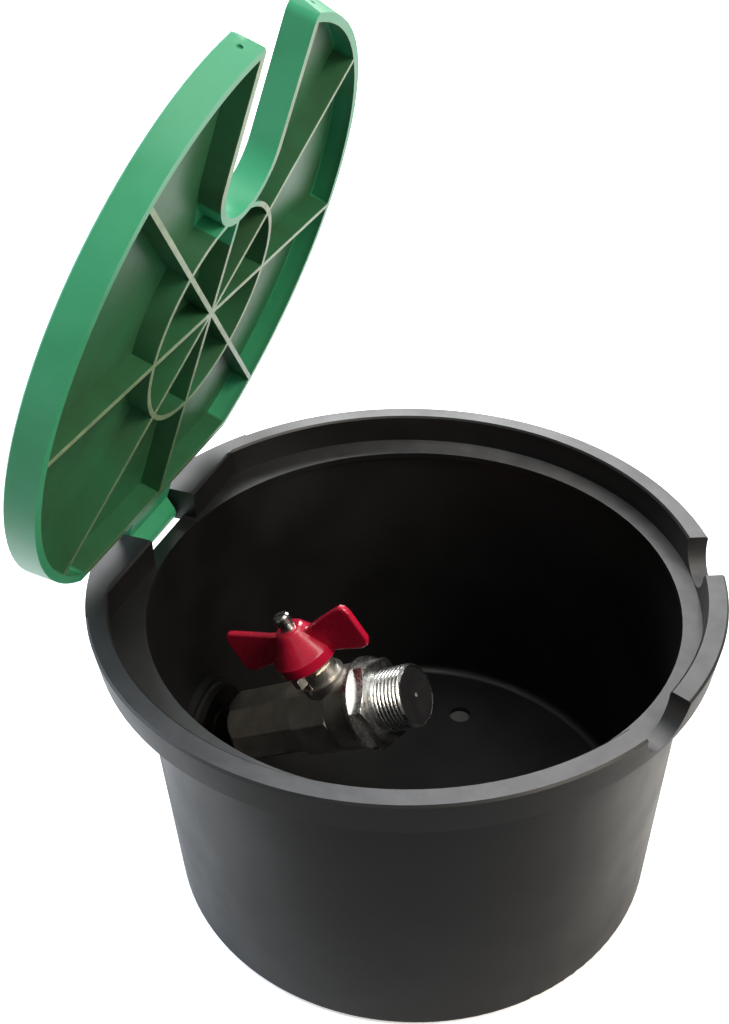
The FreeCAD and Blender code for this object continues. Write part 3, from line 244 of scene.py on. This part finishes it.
def painted_top_light(finish, code, above):
    """Faces that look up, above a height, given a pale, uneven painted light, weaker in the painted shade under
    the open lid.
    """
    tree = finish.node_tree
    place = add(tree, "ShaderNodeTexCoord").outputs["Object"]
    facing = add(tree, "ShaderNodeSeparateXYZ", {"Vector": add(tree, "ShaderNodeNewGeometry").outputs["Normal"]})
    height = add(tree, "ShaderNodeSeparateXYZ", {"Vector": place})
    return masked(finish, code, product(
        tree,
        # Painted light on faces that look up
        spread(tree, facing.outputs["Z"], 0, 1, 0.75, 0.95),
        spread(tree, height.outputs["Z"], 0, 1, above * MM, (above + 1) * MM),
        # Painted shade: the painted light fades towards the hinge side, under the open lid
        spread(tree, height.outputs["X"], 0.1, 1, -100 * MM, 0),
        spread(tree, noise(tree, place, 9, 6), 0.6, 1),
    ))


# Polypropylene, moulded in a finely eroded tool: near black, with a soft waxy gloss. Its ledge and rim, more than
# 120 mm up, face the sky and get a pale painted light
BLACK_BOX = painted_top_light(
    surface("moulded_black_polypropylene", ((0.3, "#0a0a0b"), (0.7, "#121213")), (0.40, 0.54),
            patch=40, grain=0.9, relief=0.012),
    "#555557", 120,
)
# The same plastic with a green pigment: the gloss washes the colour out towards the light. Its underside gets
# painted shade, its rib edges a painted highlight
GREEN_LID = shaded_underside(
    surface("moulded_green_polypropylene", ((0.3, "#359266"), (0.7, "#419f75")), (0.34, 0.46),
            patch=30, grain=0.9, relief=0.015),
    "#2c5232", "#9aab88",
)
# Chrome plate on turned brass: mirror bright with faint turning marks
CHROME = surface("chrome_plated_brass", ((0.3, "#dcdcda"), (0.7, "#e8e8e6")), (0.2, 0.32), metallic=1,
                 patch=6, grain=0.5, relief=0.006)
# Nickel plate on a sand casting: duller, with the sand's grain under the plate
NICKEL = surface("nickel_plated_casting", ((0.3, "#b4b1ab"), (0.7, "#d0cdc7")), (0.32, 0.46), metallic=1,
                 patch=8, grain=0.7, relief=0.02)
# Nickel plate on the turned gland and neck, warmer and brighter than the casting
GLAND = surface("turned_nickel_plate", ((0.3, "#d2cdbc"), (0.7, "#e4e0d0")), (0.24, 0.36), metallic=1,
                patch=4, grain=0.5, relief=0.006)
# Nickel plate on the adaptor, darker and rougher than the casting's
DARK_NICKEL = surface("dark_nickel_plate", ((0.3, "#282623"), (0.7, "#3a3733")), (0.45, 0.6),
                      metallic=1, patch=8, grain=0.6, relief=0.01)
# Thick red lacquer on a die casting: deep colour under a wet gloss with some orange peel
RED_HANDLE = surface("red_lacquer", ((0.3, "#c61238"), (0.7, "#d61b42")), (0.22, 0.32),
                     patch=12, grain=1.4, relief=0.02, Coat_Weight=1, Coat_Roughness=0.14)
# Plain brass where no plate was put, slightly tarnished
BRASS = surface("turned_brass", ((0.3, "#b08d4e"), (0.7, "#c7a663")), (0.22, 0.34), metallic=1,
                patch=6, grain=0.5, relief=0.006)
# Zinc-plated steel of the screw, washer and pin: pale grey with a faint bloom
STEEL = surface("zinc_plated_steel", ((0.3, "#b3b2ad"), (0.7, "#cbcac6")), (0.2, 0.34), metallic=1,
                patch=3, grain=0.4, relief=0.006)
# White fluoropolymer seats and packing, waxy
SEAT = surface("white_fluoropolymer", ((0.3, "#e2e1da"), (0.7, "#ecebe5")), (0.35, 0.45),
               patch=4, grain=0.5, relief=0.004)
# Moulded nitrile rubber, matt with a grey bloom
RUBBER = surface("moulded_nitrile_rubber", ((0.3, "#191919"), (0.7, "#232323")), (0.55, 0.7),
                 patch=6, grain=0.5, relief=0.01)
# Polyethylene of the push-in plug, a little greyer than the box
PLUG = surface("moulded_black_polyethylene", ((0.3, "#18181a"), (0.7, "#202022")), (0.4, 0.5),
               patch=8, grain=0.6, relief=0.01)
# The plug's gate, where the sprue was cut off and the plastic whitened
GATE = surface("cut_polyethylene", ((0.3, "#6f6d68"), (0.7, "#8b8984")), (0.5, 0.6),
               patch=1, grain=0.3, relief=0.01)


# Forms


def merged(node):
    """A CAD node's form as a clean bmesh: doubles merged and flat faces made whole."""
    form = bmesh.new()
    form.from_mesh(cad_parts[node].data)
    bmesh.ops.remove_doubles(form, verts=form.verts, dist=0.002 * MM)
    bmesh.ops.dissolve_limit(form, angle_limit=math.radians(0.2), verts=form.verts, edges=form.edges)
    return form


def softened(form, radius):
    """Breaks the sharp edges, at most by this many millimetres.

    The clamp holds the whole form to what its shortest facets leave room for, a few hundredths of a millimetre.
    """
    sharp = [edge for edge in form.edges if len(edge.link_faces) == 2 and edge.calc_face_angle() > CREASE]
    bmesh.ops.bevel(
        form, geom=sharp, offset=radius * MM, offset_type="OFFSET", segments=2, profile=0.5,
        affect="EDGES", clamp_overlap=True, material=-1,
    )
    return form


def loose(form, name):
    """A bmesh as an object of its own."""
    mesh = bpy.data.meshes.new(name)
    form.to_mesh(mesh)
    form.free()
    made = bpy.data.objects.new(name, mesh)
    bpy.context.scene.collection.objects.link(made)
    return made


def carved(form, tool, operation="DIFFERENCE"):
    """The form with the tool taken out of it, or joined to it."""
    body, blade = loose(form, "body"), loose(tool, "blade")
    knife = body.modifiers.new("knife", "BOOLEAN")
    knife.operation = operation
    knife.solver = "EXACT"
    knife.object = blade
    result = bmesh.new()
    result.from_object(body, bpy.context.evaluated_depsgraph_get())
    for spent in (body, blade):
        mesh = spent.data
        bpy.data.objects.remove(spent)
        bpy.data.meshes.remove(mesh)
    return result


def thread_groove():
    """The groove of a right-handed thread: a vee that winds from the relief past the end face."""
    form = bmesh.new()
    vee = Matrix.Translation((THREAD_START, 0, THREAD_RADIUS - THREAD_DEPTH + THREAD_VEE))
    bmesh.ops.create_circle(
        form, cap_ends=False, segments=3, radius=THREAD_VEE, matrix=vee @ Matrix.Rotation(-math.pi / 2, 4, "X"),
    )
    turns = math.ceil((OUTLET_REACH - THREAD_START) / THREAD_PITCH) + 1
    bmesh.ops.spin(
        form, geom=form.verts[:] + form.edges[:], cent=(0, 0, 0), axis=(1, 0, 0),
        dvec=(THREAD_PITCH / THREAD_STEPS, 0, 0), angle=2 * math.pi * turns, steps=THREAD_STEPS * turns,
    )
    bmesh.ops.holes_fill(form, edges=form.edges[:], sides=3)
    bmesh.ops.recalc_face_normals(form, faces=form.faces)
    form.transform(VALVE)
    return form


def gate_mark():
    """The low round scar in the middle of the plug's face, a fifth as high as it is wide."""
    form = bmesh.new()
    bmesh.ops.create_icosphere(form, subdivisions=3, radius=GATE_RADIUS)
    bmesh.ops.scale(form, vec=(0.2, 1, 1), verts=form.verts)
    bmesh.ops.translate(form, vec=(OUTLET_REACH - GATE_SUNK, 0, 0), verts=form.verts)
    form.transform(VALVE)
    return form


def beside_neck(near, far, half_width, low, high):
    """A block that stands out from the valve's neck at the stop lug's side."""
    form = bmesh.new()
    bmesh.ops.create_cube(form, size=1)
    bmesh.ops.scale(form, vec=Vector((far - near, 2 * half_width, high - low)) * MM, verts=form.verts)
    bmesh.ops.translate(form, vec=Vector((near + far, 0, low + high)) / 2 * MM, verts=form.verts)
    form.transform(VALVE @ Matrix.Rotation(LUG_SIDE, 4, "Z"))
    return form


def body_form():
    """The casting, with its stop lug shorter and at the top of the neck, as in the photo."""
    form = carved(merged("valve_body"), beside_neck(**LUG_CUT_LOW))
    form = carved(form, beside_neck(**LUG_CUT_HIGH))
    return softened(carved(form, beside_neck(**LUG), "UNION"), 0.35)


def bell_form():
    """The handle, with its bell fuller than the solid's and its foot a little higher, as in the photo.

    Points on the bell's skin go out and up, those at the rim of the hollow under its foot only up. Points within
    a wing's thickness stay in its faces.
    """
    form = merged("handle")
    form.transform(VALVE.inverted())
    for vert in form.verts:
        out, height = math.hypot(vert.co.x, vert.co.y) / MM, vert.co.z / MM
        for low, high in zip(BELL, BELL[1:]):
            if low[0] <= height <= high[0]:
                share = (height - low[0]) / (high[0] - low[0])
                radius, widening, lift = [one + (other - one) * share for one, other in zip(low[1:], high[1:])]
                if abs(out - radius) < BELL_SKIN:
                    vert.co.x *= widening
                    if abs(vert.co.y) > WING_HALF:
                        vert.co.y *= widening
                    vert.co.z += lift * MM
                elif abs(out - BELL_HOLLOW) < 0.1 and height < FOOT_TOP:
                    vert.co.z += lift * MM
                break
    form.transform(VALVE)
    return form


def piece(form, name, material, body, slot, *nodes):
    """The finished object: smooth but for its creases, riding on its body in place of its nodes."""
    made = loose(form, name)
    mesh = made.data
    for face in mesh.polygons:
        face.use_smooth = True
    mesh.set_sharp_from_angle(angle=CREASE)
    mesh.materials.clear()
    mesh.materials.append(material)
    flat = made.modifiers.new("normals", "WEIGHTED_NORMAL")
    flat.keep_sharp = True
    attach(made, body)
    if nodes:
        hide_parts(*nodes)


piece(softened(merged("box_tub"), 0.5), "box_moulding", BLACK_BOX, "root", "black_box", "box_tub")
piece(softened(merged("lid"), 0.35), "lid_moulding", GREEN_LID, "lid", "green_lid", "lid")
piece(body_form(), "valve_casting", NICKEL, "root", "nickel_body", "valve_body")
piece(carved(softened(merged("outlet_end"), 0.25), thread_groove()), "outlet_turning", CHROME, "root",
      "bright_chrome", "outlet_end")
piece(softened(bell_form(), 0.3), "handle_casting", RED_HANDLE, "handle", "red_handle", "handle")
piece(gate_mark(), "plug_gate_mark", GATE, "plug", "black_plug")

for node, finish in {
    "hinge_pin": STEEL, "ball": CHROME, "stem": BRASS, "gland_nut": GLAND, "handle_washer": STEEL,
    "handle_screw": STEEL, "outlet_plug": PLUG, "inlet_adaptor": DARK_NICKEL, "wall_locknut": BRASS,
    "outer_washer": BLACK_BOX, "inner_gasket": RUBBER, "stem_rings": RUBBER, "body_joint_ring": RUBBER,
    "inlet_seat_ring": SEAT, "outlet_seat_ring": SEAT, "stem_thrust_washer": SEAT, "gland_packing": SEAT,
}.items():
    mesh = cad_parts[node].data
    mesh.materials.clear()
    mesh.materials.append(finish)


# The studio


def stage_floor():
    """A pale floor that keeps the object's shadow and runs out to white.

    The paper under the box is painted grey and does not glow there: a painted shadow that shows only through the
    drain holes. What the plastic and metal mirror of the floor is painted darker in front of the box, as in the
    photo's studio, and the light that the floor throws back is weaker than white paper's.
    """
    form = bmesh.new()
    bmesh.ops.create_grid(form, x_segments=1, y_segments=1, size=6)
    floor = loose(form, "floor")
    floor.location.z = -0.1 * MM
    made = bpy.data.materials.new("studio_paper")
    made.use_nodes = True
    tree = made.node_tree
    tree.nodes.clear()
    place = add(tree, "ShaderNodeTexCoord").outputs["Object"]
    away = length(tree, place)
    outside = spread(tree, away, 0, 1, *PAINTED_SHADOW_UNDER_BOX)
    # Painted shadow: grey paper within the ring under the box
    paper_with_painted_shadow = mixed(tree, outside, linear("#5c5c5c"), linear("#f4f4f2"))
    rays = add(tree, "ShaderNodeLightPath").outputs
    towards_camera = {0: place, 1: (0.33, -0.94, 0)}
    in_front = add(tree, "ShaderNodeVectorMath", towards_camera, operation="DOT_PRODUCT").outputs["Value"]
    # Painted darkness in what the floor shows in reflections in front of the box, and a weaker bounce
    veil = product(
        tree,
        spread(tree, rays["Is Glossy Ray"], 1, spread(tree, in_front, 1, 0.1, 0.04, 0.14), 0, 1),
        spread(tree, rays["Is Diffuse Ray"], 1, 0.55, 0, 1),
    )
    paper = add(tree, "ShaderNodeBsdfDiffuse", {"Color": mixed(tree, veil, linear("#000000"), paper_with_painted_shadow)})
    seen = product(tree, rays["Is Camera Ray"], spread(tree, away, 0.55, 1, 0.5, 1.5))
    mirrored = spread(tree, rays["Is Glossy Ray"], 0, 0.2, 0, 1)
    level = add(tree, "ShaderNodeMath", {0: seen, 1: mirrored}, operation="ADD").outputs[0]
    glow = add(tree, "ShaderNodeEmission", {
        "Color": linear("#ffffff"), "Strength": product(tree, outside, level),
    })
    lit = add(tree, "ShaderNodeAddShader", {0: paper.outputs[0], 1: glow.outputs[0]})
    add(tree, "ShaderNodeOutputMaterial", {"Surface": lit.outputs[0]})
    floor.data.materials.append(made)


def studio_world():
    """Weak soft light all round, seen as white by the camera and through glass."""
    world = bpy.data.worlds.new("studio")
    bpy.context.scene.world = world
    world.use_nodes = True
    tree = world.node_tree
    tree.nodes.clear()
    rays = add(tree, "ShaderNodeLightPath").outputs
    seen = add(tree, "ShaderNodeMath", {
        0: rays["Is Camera Ray"], 1: rays["Is Transmission Ray"],
    }, operation="MAXIMUM")
    white = add(tree, "ShaderNodeBackground", {"Color": linear("#ffffff"), "Strength": 1})
    level = spread(tree, rays["Is Glossy Ray"], 0.12, 0.3, 0, 1)
    grey = add(tree, "ShaderNodeBackground", {"Color": linear("#ffffff"), "Strength": level})
    both = add(tree, "ShaderNodeMixShader", {0: seen.outputs[0], 1: grey.outputs[0], 2: white.outputs[0]})
    add(tree, "ShaderNodeOutputWorld", {"Surface": both.outputs[0]})


def softbox(name, place, target, width, height, power, tint="#ffffff"):
    """A rectangular lamp that faces the target. Metres and watts."""
    lamp = bpy.data.lights.new(name, "AREA")
    lamp.shape = "RECTANGLE"
    lamp.size = width
    lamp.size_y = height
    lamp.energy = power
    lamp.color = linear(tint)[:3]
    made = bpy.data.objects.new(name, lamp)
    bpy.context.scene.collection.objects.link(made)
    made.location = place
    made.rotation_euler = (Vector(target) - Vector(place)).to_track_quat("-Z", "Y").to_euler()


def camera():
    """The camera at the photograph's place, turn and lens."""
    eye = bpy.data.cameras.new("camera")
    eye.lens = LENS
    eye.clip_start = 0.01
    made = bpy.data.objects.new("camera", eye)
    bpy.context.scene.collection.objects.link(made)
    made.matrix_world = (
        Matrix.Translation(EYE)
        @ Matrix.Rotation(math.radians(HEADING), 4, "Z")
        @ Matrix.Rotation(math.radians(90 - PITCH), 4, "X")
        @ Matrix.Rotation(math.radians(CANT), 4, "Z")
    )
    bpy.context.scene.camera = made


stage_floor()
studio_world()
softbox("key", (-1.1, -0.2, 1.0), (0, 0, 0.15), 0.7, 0.7, 22, "#d8eaff")
softbox("top", (0.15, 0.1, 1.5), (0, 0, 0.1), 0.9, 0.9, 7)
softbox("right", (1.0, -0.12, 1.1), (0, 0, 0.12), 0.6, 0.6, 15, "#fff4e4")
softbox("back", (-0.5, 1.2, 1.0), (0, 0, 0.12), 1.1, 0.7, 25)
softbox("low_left", (-1.25, -0.7, 0.24), (0, 0, 0.12), 0.6, 0.4, 4, "#fff2de")
softbox("low_right", (1.25, -0.3, 0.25), (0, 0, 0.1), 0.5, 0.4, 3.5, "#fff4e6")
camera()

bpy.context.scene.view_settings.view_transform = "Standard"
